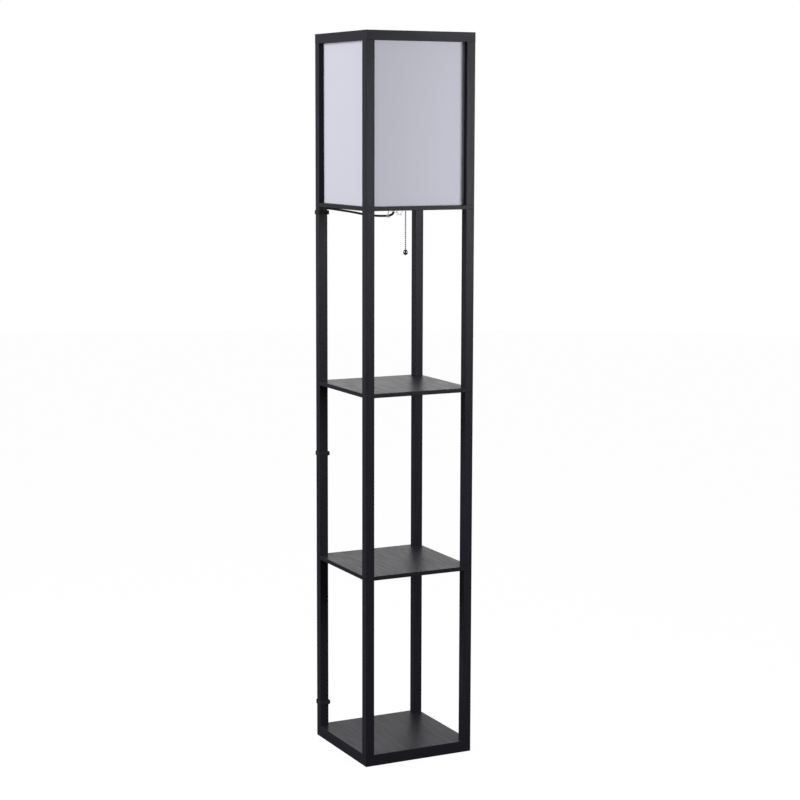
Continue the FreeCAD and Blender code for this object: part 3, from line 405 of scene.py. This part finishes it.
# ---- boards and posts ----
# Particle board shelves, a thick base board and square posts, all wrapped in black ash-grain
# foil. The posts stand between the boards, on studs, so that each board's edge shows between
# two lengths of post.
PORE_WIDE, PORE_LONG, STREAK_WIDE = 1.1 * mm, 24 * mm, 4 * mm


def ash_foil(name, grain):
    """Black ash-grain foil: low satin gloss, streaks along the grain and fine pores pressed
    into it. The pores of the real foil are 0.3 mm wide; they are drawn 1.1 mm wide so that they
    show. grain is the axis that they follow."""
    foil, shader = new_finish(name, "#222229", Roughness=0.38, Specular_IOR_Level=0.08)
    shorten = [1.0, 1.0, 1.0]
    shorten[grain] = PORE_WIDE / PORE_LONG
    streaks = mottle(foil, shader, STREAK_WIDE, "#1d1d24", "#27272f", shorten, detail=4.0)
    pores = noise_at(foil, PORE_WIDE, shorten, "Object", 2.0)
    settings = {"Value": pores, "From Min": 0.3, "From Max": 0.62, "To Min": 0.0, "To Max": 1.0}
    pressed = add_node(foil, "MapRange", settings).outputs[0]
    raise_by(foil, shader, pressed, 0.12 * mm, 0.5)
    settings = {"Value": streaks, "From Min": 0.3, "From Max": 0.7}
    gloss = add_node(foil, "MapRange", {**settings, "To Min": 0.32, "To Max": 0.44}).outputs[0]
    foil.node_tree.links.new(gloss, shader.inputs["Roughness"])
    return foil


def refinish(material, *names):
    """Gives CAD nodes, named or by the start of their names, a better material in their own
    slots."""
    for name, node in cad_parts.items():
        if name.startswith(names):
            node.material_slots[0].material = material


foils = {
    axis: ash_foil(f"black_ash_foil_along_{axis.lower()}", "XYZ".index(axis)) for axis in "XYZ"
}
refinish(foils["X"], "top_rail_front", "top_rail_rear")
refinish(foils["Y"], "base_board", "lower_shelf", "middle_shelf", "lamp_shelf")
refinish(foils["Y"], "top_rail_left", "top_rail_right")
refinish(foils["Z"], "lower_post", "middle_post", "upper_post", "shade_post")

# ---- studs, inserts, bolts, rod and dowels ----
# Zinc-plated steel for the studs, their inserts, the bolts under the base, the hollow rod with
# its nut and washer and the clips' screws, and turned beech for the dowels.
zinc, shader = new_finish("zinc_plated_steel", "#b9bcc0", Metallic=1.0, Roughness=0.34)
mottle(zinc, shader, 3 * mm, "#a9adb2", "#c8cbce")
refinish(zinc, "post_inserts", "shelf_studs", "base_bolts", "clip_screws")
refinish(zinc, "threaded_rod", "lock_nut", "rod_washer")
beech, shader = new_finish("turned_beech", "#c79f6d", Roughness=0.62)
mottle(beech, shader, 0.8 * mm, "#b98d59", "#d3ae80", (0.1, 0.1, 1))
refinish(beech, "top_frame_dowels")

# ---- top frame screws ----
# Countersunk steel screws, black, that hold the rails down on the posts, with a cross recess in
# each head.
HEAD_OUT, HEAD_TALL, SHANK_OUT = 3.9 * mm, 2.5 * mm, 1.9 * mm
RECESS_DEEP, RECESS_WIDE, RECESS_LONG = 1.4 * mm, 0.55 * mm, 2 * mm
TIP_OUT, TIP_LONG, HEAD_INSET, SCREW_AROUND = 0.3 * mm, 4 * mm, 4 * mm, 48


def screw_points(lo, hi):
    """One screw between its box's corners: a shank, a cone under the head, and a flat top whose
    middle is pressed down where a cross of that width lies, less towards its ends."""
    turns = np.linspace(0, 2 * math.pi, SCREW_AROUND, endpoint=False)
    rows = [(TIP_OUT, lo[2]), (SHANK_OUT, lo[2] + TIP_LONG), (SHANK_OUT, hi[2] - HEAD_TALL)]
    rows += [(HEAD_OUT, hi[2] - 0.5 * mm), (HEAD_OUT, hi[2] - 0.15 * mm)]
    rows.append((HEAD_OUT - 0.2 * mm, hi[2]))
    below_top = len(rows)
    rows += [(out * mm, hi[2]) for out in np.arange(3.2, 0.1, -0.3)]
    radius, height = np.array(rows).T
    x, y = np.outer(radius, np.cos(turns)), np.outer(radius, np.sin(turns))
    z = np.repeat(height[:, None], SCREW_AROUND, axis=1)
    across = np.minimum(np.abs(x), np.abs(y))
    inside = np.clip((RECESS_WIDE * 1.5 - across) / (RECESS_WIDE * 0.5), 0, 1)
    taper = np.clip(1.5 - np.hypot(x, y) / RECESS_LONG, 0, 1)
    is_top = (np.arange(len(rows)) >= below_top)[:, None]
    z -= is_top * RECESS_DEEP * inside * taper
    middle = [(low + top) / 2 for low, top in zip(lo, hi)]
    return np.stack([x + middle[0], y + middle[1], z], axis=-1)


black_steel, shader = new_finish("black_oxide_steel", "#2b2b2d", Metallic=1.0, Roughness=0.4)
mottle(black_steel, shader, 1 * mm, "#232325", "#343437")
low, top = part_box("top_frame_screws")
for number, (right, back) in enumerate(((0, 0), (1, 0), (1, 1), (0, 1)), 1):
    x = (low.x, top.x)[right] - (2 * right - 1) * HEAD_INSET
    y = (low.y, top.y)[back] - (2 * back - 1) * HEAD_INSET
    screw = surface(f"top_frame_screw_{number}", screw_points((x, y, low.z), (x, y, top.z)))
    crisp(dress(screw, black_steel, "zinc_steel", "top_frame_screws"))

# ---- shade panels ----
# Each side of the shade is a sheet of white linen-weave polyester bonded to thin PVC, hemmed
# round its edges and held by grooves in the posts and rails.
PANEL_WIDE, PANEL_TALL, PANEL_THICK, PANEL_SINK = 229 * mm, 352 * mm, 0.8 * mm, 0.2 * mm
HEM, HEM_THICK, HEM_STEP = 7 * mm, 0.3 * mm, 1.2 * mm
SHEET_BOW, RIPPLE_TALL, RIPPLE_LONG = 0.7 * mm, 0.1 * mm, 11 * mm
THREAD, THREAD_TALL = 0.9 * mm, 0.12 * mm
HEM_LINES, EDGE_ZONE, LINES_APART = (0, 0.4, 2.2, 5.8, 6.4, 7, 7.6, 8.4, 11), 16 * mm, 8 * mm

shade_cloth, shader = new_finish(
    "linen_weave_polyester_on_pvc", "#cecedb", Roughness=0.85, Sheen_Weight=0.1
)
mottle(shade_cloth, shader, 3 * mm, "#cbcbd8", "#cfcfdc", (1, 0.1, 1), coordinates="UV")
place = add_node(shade_cloth, "TexCoord", {}).outputs["UV"]
# A wave texture's bands are pi/10 divided by its scale apart.
wave = {"Vector": place, "Scale": math.pi / 10 / THREAD, "Distortion": 1.2}
wave |= {"Detail": 1.0, "Detail Scale": 0.6}
threads = [
    add_node(shade_cloth, "TexWave", wave, bands_direction=direction).outputs["Fac"]
    for direction in "XY"
]
both_ways = {0: threads[0], 1: threads[1]}
weave = add_node(shade_cloth, "Math", both_ways, operation="MAXIMUM").outputs[0]
raise_by(shade_cloth, shader, weave, THREAD_TALL, 0.5)


def lines_across(size):
    """Places of grid lines over a sheet of that size: close together where the hem ends, and
    wider apart between."""
    near = np.array(HEM_LINES) * mm
    between = np.linspace(EDGE_ZONE, size - EDGE_ZONE, round(size / LINES_APART))
    return np.concatenate([near, between, size - near[::-1]])


def panel_points(outside, foot, turn):
    """The outer side of one panel: flat at its edges, bowed out by half a sine wave both ways,
    and thicker over the hem, whose inner edge drops by a smooth step. It is made as the front
    panel, that far outside the lamp's middle, and turned about Z."""
    across, up = np.meshgrid(lines_across(PANEL_WIDE), lines_across(PANEL_TALL))
    edge = np.minimum(np.minimum(across, PANEL_WIDE - across), np.minimum(up, PANEL_TALL - up))
    step = np.clip((edge - HEM + HEM_STEP / 2) / HEM_STEP, 0, 1)
    hem = HEM_THICK * (1 - step**2 * (3 - 2 * step))
    half_wave = np.sin(math.pi * up / PANEL_TALL)
    bow = SHEET_BOW * np.sin(math.pi * across / PANEL_WIDE) * half_wave
    ripple = RIPPLE_TALL * np.sin(across / RIPPLE_LONG) * half_wave
    out = outside + hem + bow + ripple
    points = np.stack([across - PANEL_WIDE / 2, -out, up + foot], axis=-1)
    cos, sin = round(math.cos(turn)), round(math.sin(turn))
    spin = np.array([[cos, sin, 0], [-sin, cos, 0], [0, 0, 1]])
    return points @ spin, np.stack([across, up], axis=-1)


front_low, front_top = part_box("front_panel")
panel_out = -(front_low.y + front_top.y) / 2 + PANEL_THICK / 2 - PANEL_SINK
for number, side_name in enumerate(("front", "right", "rear", "left")):
    points, uv = panel_points(panel_out, front_low.z, number * math.pi / 2)
    panel = surface(f"{side_name}_shade_panel", points, closed=False, capped=False, uv=uv)
    thickness = panel.modifiers.new("thickness", "SOLIDIFY")
    thickness.thickness, thickness.offset = PANEL_THICK, -1
    dress(panel, shade_cloth, "shade_fabric", f"{side_name}_panel")

# ---- lampholder ----
# A black phenolic cup and shell round a glazed ceramic core, with a brass screw sleeve and
# centre contact, on a hollow threaded rod through the shelf. A black bush guards the cord where
# it leaves the rod.
phenolic, shader = new_finish("moulded_black_phenolic", "#131314", Roughness=0.3)
unevenness = mottle(phenolic, shader, 2 * mm, "#111112", "#18181a")
raise_by(phenolic, shader, unevenness, 0.03 * mm)
refinish(phenolic, "lampholder_cup", "lampholder_shell", "cord_bush")
ceramic, shader = new_finish(
    "glazed_white_ceramic", "#e9e7e0", Roughness=0.16, Coat_Weight=0.4
)
mottle(ceramic, shader, 5 * mm, "#e4e2da", "#eeece6")
refinish(ceramic, "lampholder_core")
brass, shader = new_finish("stamped_brass", "#c9a45a", Metallic=1.0, Roughness=0.3)
mottle(brass, shader, 3 * mm, "#b8924a", "#d6b36c")
refinish(brass, "contact_sleeve", "centre_contact")

# ---- chain guide ----
# A nickel-plated tube from the switch in the shell, bent down to a bell mouth over the hole in
# the shelf, through which the pull chain comes out.
GUIDE_OUT, GUIDE_BEND, MOUTH_OUT = 3.5 * mm, 6 * mm, 5 * mm
BEND_POINTS, GUIDE_AROUND = 12, 32
# Down the outside of the tube below its bend, in mm: height over the mouth, and how much wider
# than the tube.
GUIDE_DROP = [(8, 0), (6, 0), (4, 0.3), (2, 0.9)]
# Round the lip and up the bore, in mm: radius, and height over the mouth.
GUIDE_MOUTH = [(5, 0.6), (4.9, 0.1), (4.6, 0), (4, 0.1), (3, 1.4), (2.3, 3), (2.3, 14), (0.6, 14)]

guide_low, guide_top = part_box("chain_guide")
CHAIN_OUT = guide_top.x - MOUTH_OUT
axis_height = guide_top.z - GUIDE_OUT
quarter = np.linspace(0, math.pi / 2, BEND_POINTS)
bend_x = CHAIN_OUT - GUIDE_BEND + GUIDE_BEND * np.sin(quarter)
bend_z = axis_height - GUIDE_BEND + GUIDE_BEND * np.cos(quarter)
drop_z, drop_wider = (np.array(column) * mm for column in zip(*GUIDE_DROP))
mouth_out, mouth_z = (np.array(column) * mm for column in zip(*GUIDE_MOUTH))
upright = len(GUIDE_DROP) + len(GUIDE_MOUTH)
line_x = np.concatenate([[guide_low.x], bend_x, np.full(upright, CHAIN_OUT)])
line_z = np.concatenate([[axis_height], bend_z, guide_low.z + drop_z, guide_low.z + mouth_z])
way = np.concatenate([[0], quarter, np.full(upright, math.pi / 2)])
radius = np.concatenate([np.full(1 + BEND_POINTS, GUIDE_OUT), GUIDE_OUT + drop_wider, mouth_out])
turns = np.linspace(0, 2 * math.pi, GUIDE_AROUND, endpoint=False)
sideways, upwards = np.outer(radius, np.cos(turns)), np.outer(radius, np.sin(turns))
guide_x = line_x[:, None] + upwards * np.sin(way)[:, None]
guide_z = line_z[:, None] + upwards * np.cos(way)[:, None]
guide = surface("chain_guide_tube", np.stack([guide_x, sideways, guide_z], axis=-1))
# The nickel's colour and its mottle are darker than bare nickel: painted shade that stands in for
# the dark shelf and posts the polished metal mirrors.
nickel, shader = new_finish("nickel_darkened_as_painted_shade", "#6f7073", Metallic=1.0, Roughness=0.12)
mottle(nickel, shader, 4 * mm, "#66676a", "#78797c")
crisp(dress(guide, nickel, "chain_nickel", "chain_guide"), 50)

# ---- bulb ----
# A soft-white glass globe bulb. Its aluminium cap has a rolled screw thread, with a black glass
# insulator and a solder contact under it. It lifts out of the holder with its joint.
GLOBE_OUT, NECK_OUT, NECK_RISE, NECK_PULL = (size * mm for size in (30, 13.4, 12, 9))
CAP_OUT, CAP_FOOT, CAP_ROWS, CAP_AROUND = 13 * mm, 5 * mm, 120, 72
THREAD_PITCH, THREAD_DEEP, THREAD_FADE, THREAD_SINK = (size * mm for size in (3.63, 0.8, 3, 0.05))
JOIN = math.radians(-38)  # where the neck meets the ball, below the ball's middle


def turned(profile, around=64, middle=(0, 0)):
    """A profile of radii and heights carried round an upright axis through middle."""
    radius, height = np.array(profile).T
    turns = np.linspace(0, 2 * math.pi, around, endpoint=False)
    x, y = np.outer(radius, np.cos(turns)) + middle[0], np.outer(radius, np.sin(turns)) + middle[1]
    return np.stack([x, y, np.repeat(height[:, None], around, axis=1)], axis=-1)


cap_low, cap_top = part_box("bulb_cap")
globe_low, globe_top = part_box("bulb_globe")
globe_middle = globe_top.z - GLOBE_OUT
start = np.array([NECK_OUT, globe_low.z])
end = np.array([GLOBE_OUT * math.cos(JOIN), globe_middle + GLOBE_OUT * math.sin(JOIN)])
hold = start + (0, NECK_RISE)
pull = end - NECK_PULL * np.array([math.sin(-JOIN), math.cos(JOIN)])
part = np.linspace(0, 1, 14)[:, None]
neck = (1 - part) ** 3 * start + 3 * part * (1 - part) ** 2 * hold
neck = neck + 3 * part**2 * (1 - part) * pull + part**3 * end
ball_angle = np.linspace(JOIN, math.radians(89), 30)[1:]
ball_z = globe_middle + GLOBE_OUT * np.sin(ball_angle)
ball = np.column_stack([GLOBE_OUT * np.cos(ball_angle), ball_z])
bulb_glass, shader = new_finish("soft_white_glass", "#f1f0ea", Roughness=0.28, Coat_Weight=0.3)
mottle(bulb_glass, shader, 20 * mm, "#eeede7", "#f4f3ee")
globe = surface("bulb_glass_globe", turned(np.vstack([neck, ball])))
dress(globe, bulb_glass, "bulb_glass", "bulb_globe", body="bulb")

cap_height = np.linspace(cap_low.z + CAP_FOOT, cap_top.z, CAP_ROWS)
turns = np.linspace(0, 2 * math.pi, CAP_AROUND, endpoint=False)
phase = 2 * math.pi * (cap_height[:, None] / THREAD_PITCH) - turns
from_end = np.minimum(cap_height - cap_height[0], cap_height[-1] - cap_height)
fade = np.clip(from_end / THREAD_FADE, 0, 1)[:, None]
thread_out = CAP_OUT - THREAD_DEEP * (0.5 - 0.5 * np.cos(phase)) * fade - THREAD_SINK
cap_z = np.repeat(cap_height[:, None], CAP_AROUND, axis=1)
cap_points = np.stack([thread_out * np.cos(turns), thread_out * np.sin(turns), cap_z], axis=-1)
aluminium, shader = new_finish("rolled_aluminium", "#c3c5c8", Metallic=1.0, Roughness=0.3)
mottle(aluminium, shader, 3 * mm, "#b5b8bb", "#cfd1d4")
cap = surface("bulb_screw_cap", cap_points)
dress(cap, aluminium, "bulb_aluminium", "bulb_cap", body="bulb")

# Radii and heights over the cap's foot, in mm.
INSULATOR = [(4.6, 1.0), (5.2, 1.2), (8.6, 2.6), (11.2, 4.4), (12.2, 5.4)]
TIP = [(0.4, 0.0), (3.0, 0.15), (4.3, 0.7), (4.7, 1.3)]
insulator = [(out * mm, cap_low.z + height * mm) for out, height in INSULATOR]
vitrite, shader = new_finish("black_glass_insulator", "#0c0c10", Roughness=0.12)
mottle(vitrite, shader, 4 * mm, "#0a0a0d", "#121218")
dress(surface("bulb_insulator", turned(insulator)), vitrite, "bulb_glass", body="bulb")
tip = [(out * mm, cap_low.z + height * mm) for out, height in TIP]
solder, shader = new_finish("tinned_solder", "#a9acb0", Metallic=1.0, Roughness=0.38)
mottle(solder, shader, 1.5 * mm, "#9a9da1", "#b9bcc0")
dress(surface("bulb_tip_contact", turned(tip)), solder, "bulb_aluminium", body="bulb")

# ---- pull chain ----
# Nickel-plated ball chain: hollow beads pressed over short wires, with an oval ball at its end.
# It is in three lengths, because it bends under the shelf and once more half way down.
BEAD_OUT, WIRE_OUT, PITCH, CHAIN_AROUND = 1.7 * mm, 0.45 * mm, 4.45 * mm, 14
# Each length's body, its number of beads, and how far below its top the first one is.
CHAINS = {
    "pull_chain_top": ("pull_chain", 9, 1.72 * mm),
    "pull_chain_upper": ("chain_upper", 10, 2.43 * mm),
    "pull_chain_lower": ("chain_lower", 10, 2.43 * mm),
}
BALL_OUT, NECK_WIDE, NECK_BORE, NECK_TALL, BALL_AROUND = 5.3 * mm, 1.3 * mm, 0.7 * mm, 0.3 * mm, 48


def chain_profile(beads, first, top, foot):
    """Radius and height up a ball chain: a thin wire with a bead, a circle's arc, at each pitch
    below first."""
    arc = np.linspace(math.radians(-75), math.radians(75), 8)
    bead = np.column_stack([BEAD_OUT * np.cos(arc), BEAD_OUT * np.sin(arc)])
    rows = [np.array([[WIRE_OUT, foot]])]
    for number in reversed(range(beads)):
        rows.append(bead + (0, first - number * PITCH))
    return np.vstack([*rows, np.array([[WIRE_OUT, top]])])


for node_name, (body, beads, above) in CHAINS.items():
    low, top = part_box(node_name)
    first = top.z - above
    foot = min(low.z, first - (beads - 1) * PITCH - BEAD_OUT)
    profile = chain_profile(beads, first, max(top.z, first + BEAD_OUT), foot)
    chain = surface(f"{node_name}_beads", turned(profile, CHAIN_AROUND, (CHAIN_OUT, 0)))
    dress(chain, nickel, "chain_nickel", node_name, body=body)

ball_low, ball_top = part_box("chain_end_ball")
ball_half = (ball_top.z - ball_low.z) / 2
arc = np.linspace(math.radians(-88), math.radians(74), 26)
ball = np.column_stack([BALL_OUT * np.cos(arc), ball_top.z - ball_half + ball_half * np.sin(arc)])
sleeve = [(NECK_WIDE, ball_top.z - NECK_TALL), (NECK_WIDE, ball_top.z), (NECK_BORE, ball_top.z)]
ball_points = turned(np.vstack([ball, sleeve]), BALL_AROUND, (CHAIN_OUT, 0))
end_ball = surface("chain_pull_ball", ball_points)
dress(end_ball, nickel, "chain_nickel", "chain_end_ball", body="chain_lower")

# ---- cord clips ----
# Two bent strips of milky, half clear plastic, screwed up under the shelf beside the rod. One
# holds the cord, the other is spare.
milky, shader = new_finish(
    "milky_bent_plastic", "#f0f1f3", Roughness=0.2, Transmission_Weight=0.75, IOR=1.49
)
mottle(milky, shader, 6 * mm, "#ebedef", "#f5f6f7")
refinish(milky, "cord_clip_held", "cord_clip_empty")

# ---- cord straps ----
# Three soft black hook-and-loop bands hold the cord to the back of the rear left post. Each
# one's tail lies on the post's inner side.
POST_MIDDLE, POST_HALF = np.array([-0.12, 0.12]), 10 * mm
STRAP_TALL, STRAP_THICK, STRAP_CLEAR, STRAP_CORNER = (size * mm for size in (9, 2.3, 0.2, 3.5))
# Each strap's height, how far it stands off the inner side, and how far behind the post's middle
# it reaches round the cord.
STRAPS = {
    "upper": (1.2005, 1.6 * mm, 20 * mm),
    "middle": (0.658, 0, 17.8 * mm),
    "lower": (0.0795, 0, 17.8 * mm),
}
TAIL_LONG, TAIL_THICK, TAIL_LIFT, TAIL_POINTS = 14 * mm, 1.7 * mm, 0.5 * mm, 9

gap = STRAP_THICK / 2 + STRAP_CLEAR
near = POST_HALF + gap
tail_part = np.linspace(0, 1, TAIL_POINTS)
tail_x = near + STRAP_THICK / 2 + TAIL_THICK / 2 - TAIL_LIFT * tail_part**2
tail_y = np.linspace(-POST_HALF, -POST_HALF + TAIL_LONG, TAIL_POINTS)
for name, (height, stand_off, behind) in STRAPS.items():
    right, back = near + stand_off, behind + gap
    corners = [(-near, -near), (near, -near), (near, 9 * mm), (right, 13 * mm)]
    corners += [(right - 1 * mm, back - 1 * mm), (-2.5 * mm, back), (-near, 9 * mm)]
    loop = rounded_loop(corners, STRAP_CORNER)
    flat_loop = np.column_stack([loop + POST_MIDDLE, np.full(len(loop), height)])
    strap = band(f"{name}_cord_strap", flat_loop, STRAP_TALL, STRAP_THICK)
    dress(strap, webbing, "strap_fabric", "cord_straps")
    tail_at = [POST_MIDDLE[0] + tail_x, POST_MIDDLE[1] + tail_y, np.full(TAIL_POINTS, height)]
    tail_path = np.column_stack(tail_at)
    tail = band(f"{name}_strap_tail", tail_path, STRAP_TALL, TAIL_THICK, closed=False)
    dress(tail, webbing, "strap_fabric", "cord_straps")

# ---- floor, world and lamps ----
# A floor of grey paper that takes the lamp's shadow, looks white to the camera and isn't seen
# from below, a world that is white to the camera and dimmer to the lamp, and three soft lamps.
FLOOR_OUT, FLOOR_DROP, FLOOR_WHITE, FLOOR_GLOW = 9.0, 0.5 * mm, 0.85, 1.15
AMBIENT, REFLECTED = 0.14, 0.6
WHITE = (1, 1, 1, 1)
# Each lamp's place, the side of its square and its power.
LAMPS = {
    "left_softbox": ((-2.6, 0.4, 1.8), 1.6, 72),
    "front_softbox": ((1.05, -1.6, 1.32), 0.8, 30),
    "back_softbox": ((1.2, 2.4, 1.4), 1.3, 5.5),
}
LAMPS_AIM = Vector((0, 0, 1.0))


def seen(owner):
    """1 for a ray from the camera, straight or through something clear, and 0 for others."""
    path = add_node(owner, "LightPath", {}).outputs
    rays = {0: path["Is Camera Ray"], 1: path["Is Transmission Ray"]}
    return add_node(owner, "Math", rays, operation="ADD").outputs[0]


floor_points = turned([(1 * mm, -FLOOR_DROP), (FLOOR_OUT, -FLOOR_DROP)])[::-1]
floor = surface("studio_floor", floor_points, capped=False)
paper, shader = new_finish("matt_grey_paper", "#6c6c6c", Roughness=0.9)
share = add_node(paper, "Math", {0: seen(paper), 1: FLOOR_WHITE}, operation="MULTIPLY")
glow = add_node(paper, "Emission", {"Color": WHITE, "Strength": FLOOR_GLOW})
above = {0: share.outputs[0], 1: shader.outputs[0], 2: glow.outputs[0]}
above = add_node(paper, "MixShader", above).outputs[0]
below = add_node(paper, "BsdfTransparent", {}).outputs[0]
backfacing = add_node(paper, "NewGeometry", {}).outputs["Backfacing"]
both = add_node(paper, "MixShader", {0: backfacing, 1: above, 2: below}).outputs[0]
paper.node_tree.links.new(both, paper.node_tree.nodes["Material Output"].inputs["Surface"])
floor.data.materials.append(paper)

world = bpy.data.worlds.new("white_studio")
world.use_nodes = True
bpy.context.scene.world = world
background = world.node_tree.nodes["Background"]
glossy = add_node(world, "LightPath", {}).outputs["Is Glossy Ray"]
levels = {"Value": glossy, "To Min": AMBIENT, "To Max": REFLECTED}
level = add_node(world, "MapRange", levels).outputs[0]
levels = {"Value": seen(world), "To Min": level, "To Max": 1.0}
level = add_node(world, "MapRange", levels).outputs[0]
world.node_tree.links.new(level, background.inputs["Strength"])
background.inputs["Color"].default_value = WHITE

for name, (spot, size, power) in LAMPS.items():
    light = bpy.data.lights.new(name, "AREA")
    light.size, light.energy = size, power
    lamp = bpy.data.objects.new(name, light)
    aim = (LAMPS_AIM - Vector(spot)).to_track_quat("-Z", "Y").to_matrix().to_4x4()
    lamp.matrix_world = Matrix.Translation(spot) @ aim
    lamp.visible_camera = False
    bpy.context.scene.collection.objects.link(lamp)

bpy.context.scene.view_settings.view_transform = "Standard"
